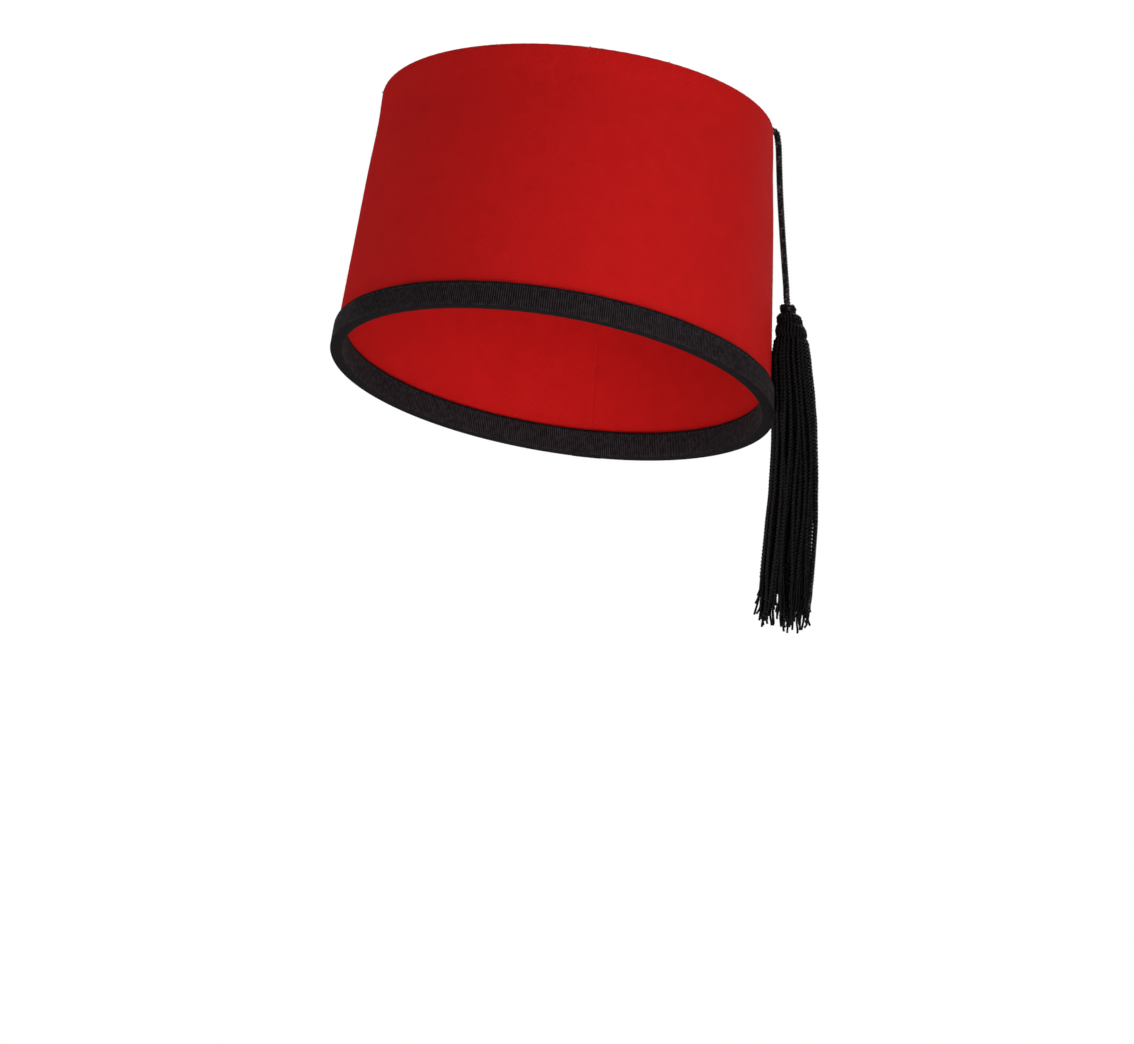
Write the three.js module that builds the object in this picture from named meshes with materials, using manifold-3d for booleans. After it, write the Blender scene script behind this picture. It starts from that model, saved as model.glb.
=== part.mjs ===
// A felt fez: an oval crown sewn to a flat top, a ribbon bound over the rim, and a tassel on a cord.
// Millimetres, +Z up the crown, the front towards -Y, the origin in the middle of the rim.
import * as THREE from 'three';
import { ParametricGeometry } from 'three/addons/geometries/ParametricGeometry.js';
import { mergeVertices } from 'three/addons/utils/BufferGeometryUtils.js';
import Module from 'manifold-3d';

// Crown, measured on the outside of the felt
const crownHeight = 103.5;
const rimWidth = 158.8;
const rimLength = 194.6;
const topWidth = 144;
const topLength = 157.4;
const rimSlantDegrees = 2.7; // the rim dips towards the tassel
const feltThick = 2;
const topSag = 1.5; // how far the middle of the top sinks
const edgeRound = 1;
const wallHeights = [11, 30, 54, 80, 94.5]; // sections of the wall between its hem and its edge
const topShares = [0, 0.45, 0.8]; // sections of the top, as shares of the way out to its edge
const crownSides = 64;

// Ribbon folded over the rim
const ribbonTall = 9.5;
const ribbonThick = 1;
const ribbonRound = 0.45;

// Gap that neighbouring pieces keep
const gap = 0.3;

// Cord, in the upright plane through the crown's axis that points towards the tassel
const tasselDegrees = 8; // from +X towards the back
const cordThick = 2.4;
const cordSides = 8;
const cordSteps = 80;
const cordPress = 0.7; // the dent that the cord presses into the crown's edge
const pressNarrow = 130; // more makes the dent narrower
const pressReach = 9; // how far down the wall the dent fades out
const cordRoute = [
  { out: 4.5, up: 103.55 },
  { out: 14, up: 103.6 },
  { out: 26, up: 103.75 },
  { out: 38, up: 104 },
  { out: 50, up: 104.3 },
  { out: 60, up: 104.5 },
  { out: 66, up: 104.6 },
  { out: 68.95, up: 104.65 },
  { out: 70.85, up: 104.45 },
  { out: 72.05, up: 104 },
  { out: 72.85, up: 103.2 },
  { out: 73.25, up: 102 },
  { out: 73.6, up: 100.3 },
  { out: 74.1, up: 97.6 },
  { out: 74.9, up: 90.2 },
  { out: 76.4, up: 77.6 },
  { out: 78.35, up: 63.7 },
  { out: 80.25, up: 51 },
  { out: 81.2, up: 44.9 },
  { out: 81.75, up: 40.4 },
  { out: 83.5, up: 31.9 },
  { out: 85.5, up: 21.9 },
  { out: 87.2, up: 11.9 },
  { out: 88.55, up: 1.9 },
  { out: 89.65, up: -8.1 },
  { out: 90.5, up: -18.1 },
  { out: 91.1, up: -28.1 },
  { out: 91.25, up: -32.1 },
];

// Knot in the middle of the top
const topKnotWide = 8;
const topKnotTall = 3.6;

// Tassel, hanging along a line that leans off the wall and turns plumb below the rim
const plumbOut = 91.6;
const plumbUp = -53.1;
const knotOut = 82.4;
const knotUp = 36.9;
const hangPower = 2.25; // how late the line turns in towards the knot
const tasselSides = 24;
const lockCount = 16;
const lockThick = 3.3;
const lockSides = 6;
const lockSteps = 16;
const lockEnds = [-83, -72, -79, -68, -82, -74, -77, -70]; // the ragged lower ends, in turn
const tasselForm = [
  { up: 34.6, radius: 3.7 },
  { up: 33.9, radius: 4.4 },
  { up: 30.5, radius: 4.8 },
  { up: 26.4, radius: 5.2 },
  { up: 23.4, radius: 6.4 },
  { up: 16.9, radius: 7 },
  { up: 2.9, radius: 7.5 },
  { up: -7.1, radius: 7.8 },
  { up: -30.1, radius: 8.3 },
  { up: -45.1, radius: 9 },
  { up: -63.1, radius: 9.3 },
  { up: -85.1, radius: 8.8 },
];
const coreInset = 1.3; // how far the backing lies inside the locks
const coreTop = 34.9;
const coreEnd = -66;

// Knot on the cord above the tassel, and the thread wound round the neck
const cordKnotForm = [
  { up: 35.2, radius: 2.6 },
  { up: 35.7, radius: 3.1 },
  { up: 36.7, radius: 3.2 },
  { up: 37.7, radius: 3 },
  { up: 38.3, radius: 2.5 },
];
const bindingForm = [
  { up: 25.9, radius: 5.4 },
  { up: 26.9, radius: 5.85 },
  { up: 29.1, radius: 5.85 },
  { up: 30.1, radius: 5.3 },
];
const bindingInner = 4.6;

// Finishes
const redFelt = new THREE.MeshStandardMaterial({ color: 0xb61817, roughness: 0.95, metalness: 0 });
const blackRibbon = new THREE.MeshStandardMaterial({ color: 0x231c1f, roughness: 0.7, metalness: 0 });
const blackCord = new THREE.MeshStandardMaterial({ color: 0x131112, roughness: 0.5, metalness: 0 });

const boreRadius = cordThick / 2 + gap;
const rimSlope = Math.tan(THREE.MathUtils.degToRad(rimSlantDegrees));
const tasselAngle = THREE.MathUtils.degToRad(tasselDegrees);
const tasselWay = new THREE.Vector3(Math.cos(tasselAngle), Math.sin(tasselAngle), 0);

const wasm = await Module();
wasm.setup();

// How deep the cord's dent is at an angle round the crown and a height.
function cordDent(angle, up) {
  const nearness = Math.exp((Math.cos(angle - tasselAngle) - 1) * pressNarrow);
  return cordPress * nearness * Math.max(0, 1 - (crownHeight - up) / pressReach);
}

// A point of the crown: up from the rim, inset from the outside of the felt, at a share of the way out.
function crownPoint(angle, { up, inset = 0, share = 1 }, target) {
  const fallen = Math.max(0, 1 - up / crownHeight);
  const halfWidth = THREE.MathUtils.lerp(topWidth, rimWidth, fallen) / 2;
  const halfLength = THREE.MathUtils.lerp(topLength, rimLength, fallen) / 2;
  const press = cordDent(angle, up) * share ** 8;
  const x = (halfWidth - inset - press) * share * Math.cos(angle);
  const y = (halfLength - inset - press) * share * Math.sin(angle);
  target.set(x, y, up - press - rimSlope * x * fallen);
}

// Sweeps a cross-section round the crown. Its rows go up the outside and back down the inside.
function roundCrown(rows) {
  const last = rows.length - 1;
  const place = (u, v, target) => crownPoint(u * 2 * Math.PI, rows[Math.round(v * last)], target);
  return new ParametricGeometry(place, crownSides, last);
}

function crownWall() {
  const hem = ribbonThick + gap;
  const outside = [hem, ...wallHeights].map((up) => ({ up }));
  const inside = outside.map(({ up }) => ({ up, inset: feltThick })).reverse();
  const edge = [
    { up: crownHeight - edgeRound },
    { up: crownHeight - edgeRound / 2, inset: edgeRound / 10 },
    { up: crownHeight - edgeRound / 3, inset: edgeRound / 5 },
    { up: crownHeight - feltThick - gap / 2, inset: feltThick },
  ];
  return roundCrown([...outside, ...edge, ...inside, outside[0]]);
}

function crownTop() {
  const sunk = (share) => crownHeight - topSag * (1 - share ** 2);
  const over = topShares.map((share) => ({ up: sunk(share), share, inset: edgeRound })).reverse();
  const under = topShares.map((share) => ({ up: sunk(share) - feltThick, share, inset: edgeRound }));
  const edge = [
    { up: crownHeight - feltThick, inset: feltThick + gap },
    { up: crownHeight - edgeRound / 4, inset: edgeRound / 4 + gap },
    { up: crownHeight - edgeRound / 12, inset: edgeRound / 2 + gap },
    { up: crownHeight, inset: edgeRound + gap },
  ];
  return roundCrown([...under, ...edge, ...over]);
}

function rimBinding() {
  const outer = -gap - ribbonThick;
  const inner = feltThick + gap + ribbonThick;
  const rows = [
    { up: ribbonRound, inset: outer },
    { up: ribbonTall - ribbonRound, inset: outer },
    { up: ribbonTall, inset: outer + ribbonRound },
    { up: ribbonTall, inset: -gap },
    { up: ribbonThick, inset: -gap },
    { up: ribbonThick, inset: feltThick + gap },
    { up: ribbonTall, inset: feltThick + gap },
    { up: ribbonTall, inset: inner },
    { up: ribbonRound, inset: inner },
    { up: 0, inset: inner - ribbonRound },
    { up: 0, inset: outer + ribbonRound },
  ];
  return roundCrown([...rows, rows[0]]);
}

// A tube with flat ends and an even number of sides along a curve.
function tube(points, thick, sides, steps) {
  const corners = Array.from({ length: sides }, (_, i) => {
    const angle = (i / sides) * 2 * Math.PI;
    return new THREE.Vector2(Math.cos(angle), Math.sin(angle)).multiplyScalar(thick / 2);
  });
  const extrudePath = new THREE.CatmullRomCurve3(points);
  return new THREE.ExtrudeGeometry(new THREE.Shape(corners), { steps, extrudePath, bevelEnabled: false });
}

function tasselCord() {
  const points = cordRoute.map(({ out, up }) => tasselWay.clone().multiplyScalar(out).setZ(up));
  return tube(points, cordThick, cordSides, cordSteps);
}

// A turned form about the Z axis, from rows that go up its outside.
function turned(rows) {
  const outline = rows.map(({ up, radius }) => new THREE.Vector2(radius, up));
  return new THREE.LatheGeometry(outline, tasselSides).rotateX(Math.PI / 2);
}

// A turned ring round a straight hole.
function turnedRing(rows, holeRadius) {
  const bottom = { up: rows[0].up, radius: holeRadius };
  const top = { up: rows[rows.length - 1].up, radius: holeRadius };
  return turned([bottom, ...rows, top, bottom]);
}

function topKnot() {
  const radius = topKnotWide / 2;
  const foot = crownHeight - topSag + gap;
  const rows = [
    { up: foot, radius: 0 },
    { up: foot, radius: radius - gap },
    { up: foot + gap, radius },
    { up: foot + topKnotTall * 0.6, radius },
    { up: foot + topKnotTall * 0.9, radius: radius * 0.7 },
    { up: foot + topKnotTall, radius: 0 },
  ];
  return turned(rows);
}

// Moves a form made about the Z axis out to the line that the tassel hangs along.
function hang(geometry) {
  const position = geometry.attributes.position;
  const point = new THREE.Vector3();
  for (let i = 0; i < position.count; i += 1) {
    point.fromBufferAttribute(position, i);
    const above = Math.max(0, point.z - plumbUp) / (knotUp - plumbUp);
    point.addScaledVector(tasselWay, plumbOut - (plumbOut - knotOut) * above ** hangPower);
    position.setXYZ(i, point.x, point.y, point.z);
  }
  geometry.computeVertexNormals();
  return geometry;
}

// The geometry as a solid that can be joined and cut, without the slivers at its poles.
function solidOf(geometry) {
  geometry.deleteAttribute('normal');
  geometry.deleteAttribute('uv');
  const merged = mergeVertices(geometry);
  const index = merged.index.array;
  const triangles = [];
  for (let i = 0; i < index.length; i += 3) {
    const [a, b, c] = index.slice(i, i + 3);
    if (a !== b && b !== c && c !== a) triangles.push(a, b, c);
  }
  const vertProperties = merged.attributes.position.array;
  return new wasm.Manifold(new wasm.Mesh({ numProp: 3, vertProperties, triVerts: Uint32Array.from(triangles) }));
}

function geometryOf(solid) {
  const { vertProperties, triVerts } = solid.getMesh();
  const geometry = new THREE.BufferGeometry();
  geometry.setAttribute('position', new THREE.BufferAttribute(vertProperties, 3));
  geometry.setIndex(new THREE.BufferAttribute(triVerts, 1));
  return geometry;
}

// One lock of the tassel, from the top of the head to its own ragged end.
function lock(number) {
  const angle = (number / lockCount) * 2 * Math.PI;
  const end = lockEnds[number % lockEnds.length];
  const rows = tasselForm.map(({ up, radius }) => ({ up: Math.max(up, end), radius }));
  const reached = rows.filter(({ up }, i) => i === 0 || up < rows[i - 1].up);
  const points = reached.map(({ up, radius }) => {
    const out = radius - lockThick / 2;
    return new THREE.Vector3(out * Math.cos(angle), out * Math.sin(angle), up);
  });
  return tube(points, lockThick, lockSides, lockSteps);
}

// The locks fused to a backing, with a hole for the cord and a groove for the thread round the neck.
function tassel() {
  const inside = tasselForm.filter(({ up }) => up > coreEnd);
  const backing = inside.map(({ up, radius }) => ({ up, radius: radius - coreInset })).reverse();
  const coreTip = { up: coreEnd, radius: 0 };
  let body = solidOf(turned([coreTip, ...backing, { up: coreTop, radius: 0 }]));
  for (let i = 0; i < lockCount; i += 1) body = body.add(solidOf(lock(i)));
  const boreEnd = cordRoute[cordRoute.length - 1].up - gap;
  const boreHeights = [boreEnd, ...cordRoute.map(({ up }) => up).filter((up) => up < knotUp).reverse(), knotUp];
  const boreWall = boreHeights.map((up) => ({ up, radius: boreRadius }));
  const bore = turned([{ up: boreEnd, radius: 0 }, ...boreWall, { up: knotUp, radius: 0 }]);
  const groove = turnedRing([
    { up: bindingForm[0].up - gap, radius: lockThick * lockCount },
    { up: bindingForm[bindingForm.length - 1].up + gap, radius: lockThick * lockCount },
  ], bindingInner - gap);
  return hang(geometryOf(body.subtract(solidOf(bore)).subtract(solidOf(groove))));
}

const fez = new THREE.Group();

function addPiece(name, geometry, material) {
  const piece = new THREE.Mesh(geometry, material);
  piece.name = name;
  fez.add(piece);
}

addPiece('crown_wall', crownWall(), redFelt);
addPiece('crown_top', crownTop(), redFelt);
addPiece('rim_binding', rimBinding(), blackRibbon);
addPiece('top_knot', topKnot(), blackCord);
addPiece('tassel_cord', tasselCord(), blackCord);
addPiece('tassel_knot', hang(turnedRing(cordKnotForm, boreRadius)), blackCord);
addPiece('tassel', tassel(), blackCord);
addPiece('tassel_binding', hang(turnedRing(bindingForm, bindingInner)), blackCord);

export default fez;
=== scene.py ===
import math
import random

import bpy
from mathutils import Matrix, Vector


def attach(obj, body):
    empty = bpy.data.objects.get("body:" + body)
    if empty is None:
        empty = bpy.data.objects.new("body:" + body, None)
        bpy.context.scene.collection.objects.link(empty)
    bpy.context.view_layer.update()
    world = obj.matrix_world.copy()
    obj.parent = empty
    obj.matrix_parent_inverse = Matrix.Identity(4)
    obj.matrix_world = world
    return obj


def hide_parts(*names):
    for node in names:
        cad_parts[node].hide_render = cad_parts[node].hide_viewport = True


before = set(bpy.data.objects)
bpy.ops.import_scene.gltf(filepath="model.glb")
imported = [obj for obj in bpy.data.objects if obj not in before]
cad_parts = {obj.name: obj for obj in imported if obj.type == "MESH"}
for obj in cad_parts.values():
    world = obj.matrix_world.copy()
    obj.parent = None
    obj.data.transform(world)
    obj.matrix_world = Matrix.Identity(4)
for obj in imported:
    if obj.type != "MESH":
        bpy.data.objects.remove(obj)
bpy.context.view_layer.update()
scene = bpy.context.scene
mm = 0.001
fullTurn = 2 * math.pi
print("frame loaded,", len(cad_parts), "solids")


# camera and light

photoView = {
    "frameWidth": 1134,  # pixels of the whole picture
    "frameHeight": 1044,
    "crownPoint": Vector((0, 0, 50 * mm)),  # a point inside the crown and the pixel it falls on
    "crownPixel": (565.4, 254.9),
    "distance": 1.8,
    "pixelSize": 0.365 * mm,  # at that distance
    "turn": 10.0,  # degrees
    "rise": -16.87,
    "roll": 5.57,
    "sensor": 36.0,
}


def placeCamera(view):
    turn, rise, roll = (math.radians(view[key]) for key in ("turn", "rise", "roll"))
    focal = view["distance"] / view["pixelSize"]  # in pixels
    back = Vector((math.sin(turn) * math.cos(rise), -math.cos(turn) * math.cos(rise), math.sin(rise)))
    right = Vector((math.cos(turn), math.sin(turn), 0))
    axes = Matrix((right, back.cross(right), back)).transposed()
    lower = math.atan((view["frameHeight"] / 2 - view["crownPixel"][1]) / focal)
    across = math.atan((view["crownPixel"][0] - view["frameWidth"] / 2) / focal)
    axes = axes @ Matrix.Rotation(roll, 3, "Z") @ Matrix.Rotation(-lower, 3, "X")
    axes = axes @ Matrix.Rotation(across, 3, "Y")
    data = bpy.data.cameras.new("photo_camera")
    data.sensor_width = view["sensor"]
    data.lens = focal / view["frameWidth"] * view["sensor"]
    camera = bpy.data.objects.new("photo_camera", data)
    place = view["crownPoint"] + back * view["distance"]
    camera.matrix_world = Matrix.Translation(place) @ axes.to_4x4()
    scene.collection.objects.link(camera)
    scene.camera = camera


studio = {
    "white": (1, 1, 1, 1),
    "backdrop": 1.0,  # strength of the white behind the hat
    "ambient": 0.09,  # what it adds to the light
    "softboxes": [  # name, place, size, watts
        ("front", (0.25, -0.8, -0.6), 1.0, 10.6),
        ("right", (1.2, -0.8, -0.1), 1.2, 9.6),
        ("left", (-1.2, -0.8, -0.1), 1.2, 1.6),
        ("side", (-1.5, 0.1, 0.0), 1.2, 9),
        ("back", (0.3, 2.0, 0.6), 1.4, 22),
        ("above", (0.0, 0.7, 2.5), 0.9, 60),
    ],
    "floorHeight": -0.9,
    "floorRadius": 7.0,
    "floorRings": (1.0, 0.4, 0.1),  # shares of the radius
    "floorSides": 96,
    "floorColor": (0.83, 0.83, 0.82, 1),
    "floorRoughness": 0.9,
    "floorGlow": 1.0,  # keeps it pale where the lamps don't reach
}


def fill(tree, node, sockets):
    for key, value in sockets.items():
        if isinstance(value, bpy.types.NodeSocket):
            tree.links.new(value, node.inputs[key])
        else:
            node.inputs[key].default_value = value


def addNode(tree, kind, sockets=None, **settings):
    node = tree.nodes.new(kind)
    for name, value in settings.items():
        setattr(node, name, value)
    fill(tree, node, sockets or {})
    return node


def flow(tree, kind, sockets=None, **settings):
    return addNode(tree, kind, sockets, **settings).outputs[0]


def lightStudio(plan):
    for name, place, size, watts in plan["softboxes"]:
        data = bpy.data.lights.new(name, "AREA")
        data.size = size
        data.energy = watts
        lamp = bpy.data.objects.new(name, data)
        lamp.location = place
        lamp.rotation_euler = (photoView["crownPoint"] - lamp.location).to_track_quat("-Z", "Y").to_euler()
        lamp.visible_camera = False
        scene.collection.objects.link(lamp)
    world = bpy.data.worlds.new("studio")
    world.use_nodes = True
    tree = world.node_tree
    tree.nodes.clear()
    seen = addNode(tree, "ShaderNodeLightPath").outputs["Is Camera Ray"]
    dim, bright = (flow(tree, "ShaderNodeBackground", {"Color": plan["white"], "Strength": plan[key]})
                   for key in ("ambient", "backdrop"))
    mixed = flow(tree, "ShaderNodeMixShader", {0: seen, 1: dim, 2: bright})
    addNode(tree, "ShaderNodeOutputWorld", {"Surface": mixed})
    scene.world = world
    scene.view_settings.view_transform = "Standard"


placeCamera(photoView)
lightStudio(studio)
print("camera and lights placed")


# small helpers for node trees

def calc(tree, operation, *values):
    return flow(tree, "ShaderNodeMath", dict(enumerate(values)), operation=operation)


def times(tree, first, second):
    return calc(tree, "MULTIPLY", first, second)


def plus(tree, first, second):
    return calc(tree, "ADD", first, second)


def calcVector(tree, operation, *values):
    return flow(tree, "ShaderNodeVectorMath", dict(enumerate(values)), operation=operation)


def scaled(tree, vector, factor):
    return flow(tree, "ShaderNodeVectorMath", {0: vector, "Scale": factor}, operation="SCALE")


def span(tree, value, low, high, toLow=0.0, toHigh=1.0):
    return flow(tree, "ShaderNodeMapRange", {"Value": value, "From Min": low, "From Max": high,
                                             "To Min": toLow, "To Max": toHigh})


def readField(tree, name):
    return flow(tree, "GeometryNodeInputNamedAttribute", {"Name": name}, data_type="FLOAT")


def storeField(tree, geometry, name, value):
    return flow(tree, "GeometryNodeStoreNamedAttribute",
                {"Geometry": geometry, "Name": name, "Value": value}, data_type="FLOAT", domain="POINT")


def randomField(tree, low, high, seed):
    node = addNode(tree, "FunctionNodeRandomValue", {2: low, 3: high, "Seed": seed}, data_type="FLOAT")
    return node.outputs[1]


def newTree(name, inputs):
    tree = bpy.data.node_groups.new(name, "GeometryNodeTree")
    tree.interface.new_socket("Geometry", in_out="INPUT", socket_type="NodeSocketGeometry")
    for label, kind in inputs.items():
        tree.interface.new_socket(label, in_out="INPUT", socket_type="NodeSocket" + kind)
    tree.interface.new_socket("Geometry", in_out="OUTPUT", socket_type="NodeSocketGeometry")
    return tree, tree.nodes.new("NodeGroupInput").outputs


def endTree(tree, geometry, material):
    real = flow(tree, "GeometryNodeRealizeInstances", {"Geometry": geometry})
    smooth = flow(tree, "GeometryNodeSetShadeSmooth", {"Geometry": real, "Shade Smooth": True})
    painted = flow(tree, "GeometryNodeSetMaterial", {"Geometry": smooth, "Material": material})
    addNode(tree, "NodeGroupOutput", {0: painted})


# small helpers for meshes and pieces

def grow(name, base, tree, values):
    source = bpy.data.objects.new(name + "_base", base)
    scene.collection.objects.link(source)
    modifier = source.modifiers.new(tree.name, "NODES")
    modifier.node_group = tree
    for item in tree.interface.items_tree:
        if item.in_out == "INPUT" and item.name in values:
            modifier[item.identifier] = values[item.name]
    mesh = bpy.data.meshes.new_from_object(source.evaluated_get(bpy.context.evaluated_depsgraph_get()))
    mesh.name = name
    bpy.data.objects.remove(source)
    return mesh


def addPiece(name, mesh, slot, *nodes):
    piece = bpy.data.objects.new(name, mesh)
    scene.collection.objects.link(piece)
    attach(piece, "root")
    if nodes:
        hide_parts(*nodes)
    mesh.calc_loop_triangles()
    print(name, len(mesh.loop_triangles), "triangles")
    return piece


def lineMesh(name, lines, closed=False, scales=None):
    mesh = bpy.data.meshes.new(name)
    points, edges = [], []
    for line in lines:
        first = len(points)
        points += [tuple(p) for p in line]
        edges += [(k, k + 1) for k in range(first, len(points) - 1)]
        if closed:
            edges.append((len(points) - 1, first))
    mesh.from_pydata(points, edges, [])
    thickness = mesh.attributes.new("thickness", "FLOAT", "POINT")
    thickness.data.foreach_set("value", scales or [1.0] * len(points))
    return mesh


# rings of points become one skin; a ring of one point is a pole
def skinRings(name, rings, closed=True):
    points, starts, faces = [], [], []
    for ring in rings:
        starts.append(len(points))
        points += ring
    for a in range(len(rings) if closed else len(rings) - 1):
        b = (a + 1) % len(rings)
        na, nb = len(rings[a]), len(rings[b])
        for k in range(max(na, nb)):
            here = (starts[a] + k % na, starts[a] + (k + 1) % na)
            there = (starts[b] + (k + 1) % nb, starts[b] + k % nb)
            faces.append(tuple(dict.fromkeys(here + there)))
    mesh = bpy.data.meshes.new(name)
    mesh.from_pydata(points, [], faces)
    mesh.polygons.foreach_set("use_smooth", [True] * len(mesh.polygons))
    return mesh


# fibres, shared by all the cloths

fibreForm = {
    "bend": 1.5,  # how far fibres wander, in their own sizes
    "strandScale": 0.6,
    "strandEdge": 0.12,
}


def grainGroup():
    tree = bpy.data.node_groups.new("fibreGrain", "ShaderNodeTree")
    for label, kind in (("Vector", "Vector"), ("Fibre Size", "Float"), ("Patch Size", "Float")):
        tree.interface.new_socket(label, in_out="INPUT", socket_type="NodeSocket" + kind)
    for label in ("Fibres", "Flecks", "Patches"):
        tree.interface.new_socket(label, in_out="OUTPUT", socket_type="NodeSocketFloat")
    put = tree.nodes.new("NodeGroupInput").outputs
    fibreScale = calc(tree, "DIVIDE", 1.0, put["Fibre Size"])
    patchScale = calc(tree, "DIVIDE", 1.0, put["Patch Size"])
    warp = addNode(tree, "ShaderNodeTexNoise", {"Vector": put["Vector"], "Scale": fibreScale, "Detail": 3.0})
    bend = scaled(tree, warp.outputs["Color"], times(tree, put["Fibre Size"], fibreForm["bend"]))
    bent = calcVector(tree, "ADD", put["Vector"], bend)
    fine = flow(tree, "ShaderNodeTexNoise",
                {"Vector": bent, "Scale": fibreScale, "Detail": 5.0, "Roughness": 0.7})
    strands = flow(tree, "ShaderNodeTexVoronoi",
                   {"Vector": bent, "Scale": times(tree, fibreScale, fibreForm["strandScale"])},
                   feature="DISTANCE_TO_EDGE")
    thin = span(tree, strands, 0.0, fibreForm["strandEdge"], 1.0, 0.0)
    patch = flow(tree, "ShaderNodeTexNoise", {"Vector": put["Vector"], "Scale": patchScale, "Detail": 4.0})
    addNode(tree, "NodeGroupOutput", {"Fibres": fine, "Flecks": thin, "Patches": patch})
    return tree


fibreGrain = grainGroup()


def grainNode(tree, look, fibreSize="fibreSize", patchSize="patchSize"):
    place = addNode(tree, "ShaderNodeTexCoord").outputs["Object"]
    sockets = {"Vector": place, "Fibre Size": look[fibreSize], "Patch Size": look[patchSize]}
    return addNode(tree, "ShaderNodeGroup", sockets, node_tree=fibreGrain).outputs


def meshField(tree, name):
    return addNode(tree, "ShaderNodeAttribute", attribute_name=name).outputs["Fac"]


def newMaterial(name):
    material = bpy.data.materials.new(name)
    material.use_nodes = True
    tree = material.node_tree
    tree.nodes.clear()
    shader = addNode(tree, "ShaderNodeBsdfPrincipled")
    addNode(tree, "ShaderNodeOutputMaterial", {"Surface": shader.outputs[0]})
    return material, tree, shader


def blendColors(tree, factor, first, second):
    sockets = {0: factor, 6: first, 7: second}
    return addNode(tree, "ShaderNodeMix", sockets, data_type="RGBA").outputs[2]


def setLook(tree, shader, look, color, height, fibres):
    depth, strength = look["bump"]
    bump = flow(tree, "ShaderNodeBump", {"Height": height, "Distance": depth, "Strength": strength})
    fill(tree, shader, {"Base Color": color, "Normal": bump, **look["steady"]})
    if "roughness" in look:
        fill(tree, shader, {"Roughness": span(tree, fibres, *look["fibreRange"], *look["roughness"])})


# materials: ranges are of a pattern's own values, bump is depth and strength

feltLook = {
    "red": (0.475, 0.0080, 0.0078, 1),
    "deepRed": (0.425, 0.0070, 0.0068, 1),
    "paleRed": (0.54, 0.015, 0.0135, 1),
    "fibreSize": 0.42 * mm,
    "patchSize": 7 * mm,
    "patchRange": (0.3, 0.7),
    "fibreRange": (0.35, 0.75),
    "mottle": 0.75,  # how much of the fibres and of the flecks shows
    "flecks": 0.4,
    "fleckHeight": 0.35,
    "roughness": (0.93, 1.0),
    "bump": (0.35 * mm, 0.5),
    "steady": {"Specular IOR Level": 0.03, "Sheen Weight": 0.006, "Sheen Roughness": 0.6,
               "Sheen Tint": (1.0, 0.45, 0.4, 1)},
}


def feltMaterial(look):
    material, tree, shader = newMaterial("red_felt")
    grain = grainNode(tree, look)
    worn = span(tree, grain["Patches"], *look["patchRange"])
    ground = blendColors(tree, worn, look["deepRed"], look["red"])
    fibres = span(tree, grain["Fibres"], *look["fibreRange"])
    mottled = blendColors(tree, times(tree, fibres, look["mottle"]), ground, look["red"])
    flecks = times(tree, grain["Flecks"], look["flecks"])
    color = blendColors(tree, flecks, mottled, look["paleRed"])
    raised = times(tree, grain["Flecks"], look["fleckHeight"])
    height = plus(tree, grain["Fibres"], raised)
    setLook(tree, shader, look, color, height, grain["Fibres"])
    return material


ribbonLook = {
    "black": (0.0022, 0.0015, 0.0018, 1),
    # worn is the lighter colour of the rib crests: partly wear, partly a painted highlight
    "worn": (0.053, 0.043, 0.048, 1),
    "fibreSize": 0.18 * mm,
    "patchSize": 1.6 * mm,
    "threadPitch": 0.22 * mm,
    "threadHeight": 0.3,
    "crestPower": 1.6,  # keeps the wear and the painted highlight on the tops of the ribs
    "wearAndHighlight": (0.36, 0.66, 0.42, 1.0),  # range of the patches, and what it becomes
    "fibreRange": (0.3, 0.7),
    "roughness": (0.5, 0.7),
    "bump": (0.08 * mm, 0.6),
    "steady": {"Specular IOR Level": 0.03},
}


def ribbonMaterial(look):
    material, tree, shader = newMaterial("ribbon_black")
    grain = grainNode(tree, look)
    # the rib crests lighten in patches: partly wear, partly a painted highlight
    crest = calc(tree, "POWER", meshField(tree, "ribCrestAndShade"), look["crestPower"])
    wearAndHighlight = times(tree, crest, span(tree, grain["Patches"], *look["wearAndHighlight"]))
    color = blendColors(tree, wearAndHighlight, look["black"], look["worn"])
    across = times(tree, meshField(tree, "across"), fullTurn / look["threadPitch"])
    threads = times(tree, calc(tree, "SINE", across), look["threadHeight"])
    height = plus(tree, threads, grain["Fibres"])
    setLook(tree, shader, look, color, height, grain["Fibres"])
    return material


cordLook = {
    "black": (0.0016, 0.0011, 0.0013, 1),
    # bright is a painted highlight along the crests of the fibres
    "bright": (0.0044, 0.0032, 0.0038, 1),
    "paintedGlint": (0.15, 0.137, 0.142, 1),  # painted glints, where the yarn turns up and would catch the light
    "glintFibre": 0.3 * mm,
    "glintSize": 0.9 * mm,
    "glintRange": (0.54, 0.62),
    "glintSide": (-0.4, 0.6),  # of each fibre
    "fibreSize": 0.22 * mm,
    "patchSize": 5 * mm,
    "fibresAround": 34.0,
    "fibreSlant": 900.0,  # radians a metre along the cord
    "fibreHeight": 0.5,
    "waver": 3.0,
    "shineRange": (0.35, 0.7),
    "fibreRange": (0.3, 0.7),
    "roughness": (0.3, 0.55),
    "bump": (0.06 * mm, 0.6),
    "steady": {"Specular IOR Level": 0.14},
}
# the strands get only a faint painted glint
strandLook = {**cordLook, "paintedGlint": (0.006, 0.0045, 0.0052, 1), "fibresAround": 27.0}


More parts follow.
